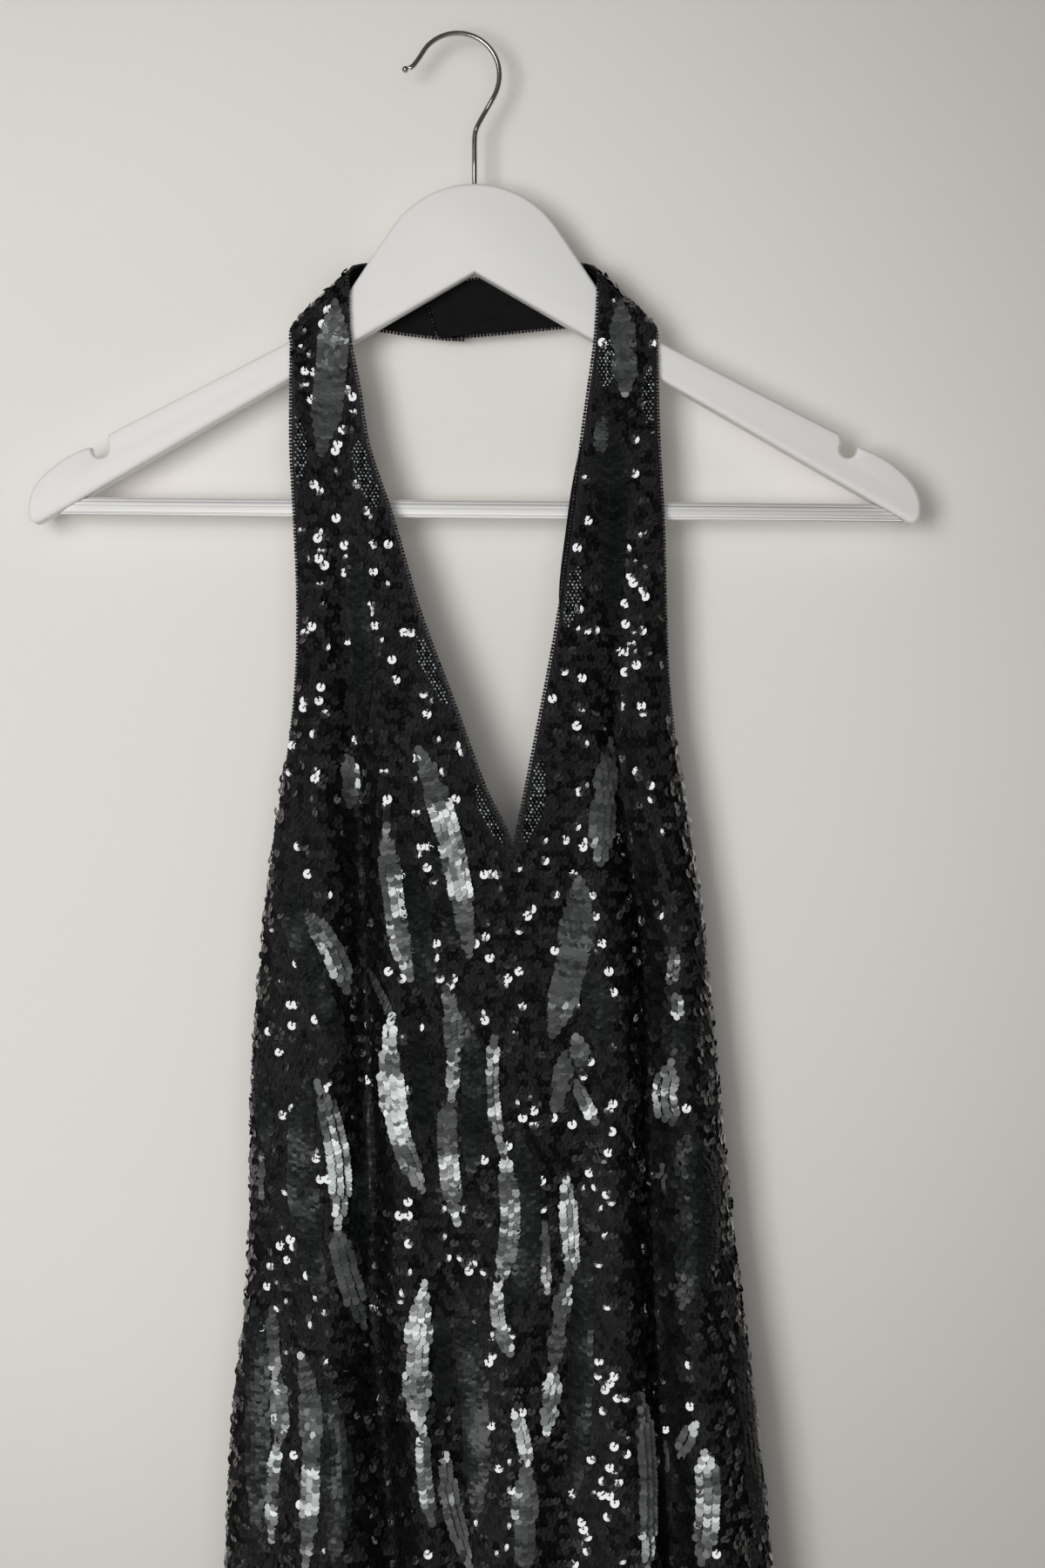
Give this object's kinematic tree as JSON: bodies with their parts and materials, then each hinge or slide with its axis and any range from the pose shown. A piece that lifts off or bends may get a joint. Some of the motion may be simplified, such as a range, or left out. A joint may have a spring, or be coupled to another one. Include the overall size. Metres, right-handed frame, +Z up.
{
  "type": "beaded halter evening dress on a hanger",
  "caption": "Full-length halter evening dress of beaded, sequinned cloth with a deep V neck and a low back, hung by its straps on a wooden hanger with a bar and a wire hook.",
  "frame": {"origin": "highest point inside the hook's bend, where a wardrobe rail or a wall hook bears", "axes": "+Z up along the hanger's stem and the gown's length, +X to the right seen from the front, the front faces -Y"},
  "size_m": [0.4364, 0.1251, 1.5226],
  "materials": {
    "sequinned_cloth": "dense black sequins and seed beads on black net",
    "lining_cloth": "plain matte black lining",
    "white_paint": "white satin paint over beech",
    "steel_wire": "polished plated wire"
  },
  "bodies": {
    "root": {"front_left": "sequinned_cloth", "front_right": "sequinned_cloth", "back_left": "sequinned_cloth", "back_right": "sequinned_cloth", "neck_band_left": "sequinned_cloth", "neck_band_right": "sequinned_cloth", "lining_left": "lining_cloth", "lining_right": "lining_cloth", "hanger_wood": "white_paint", "hanger_bar": "white_paint", "hanger_hook": "steel_wire"}
  },
  "joints": []
}
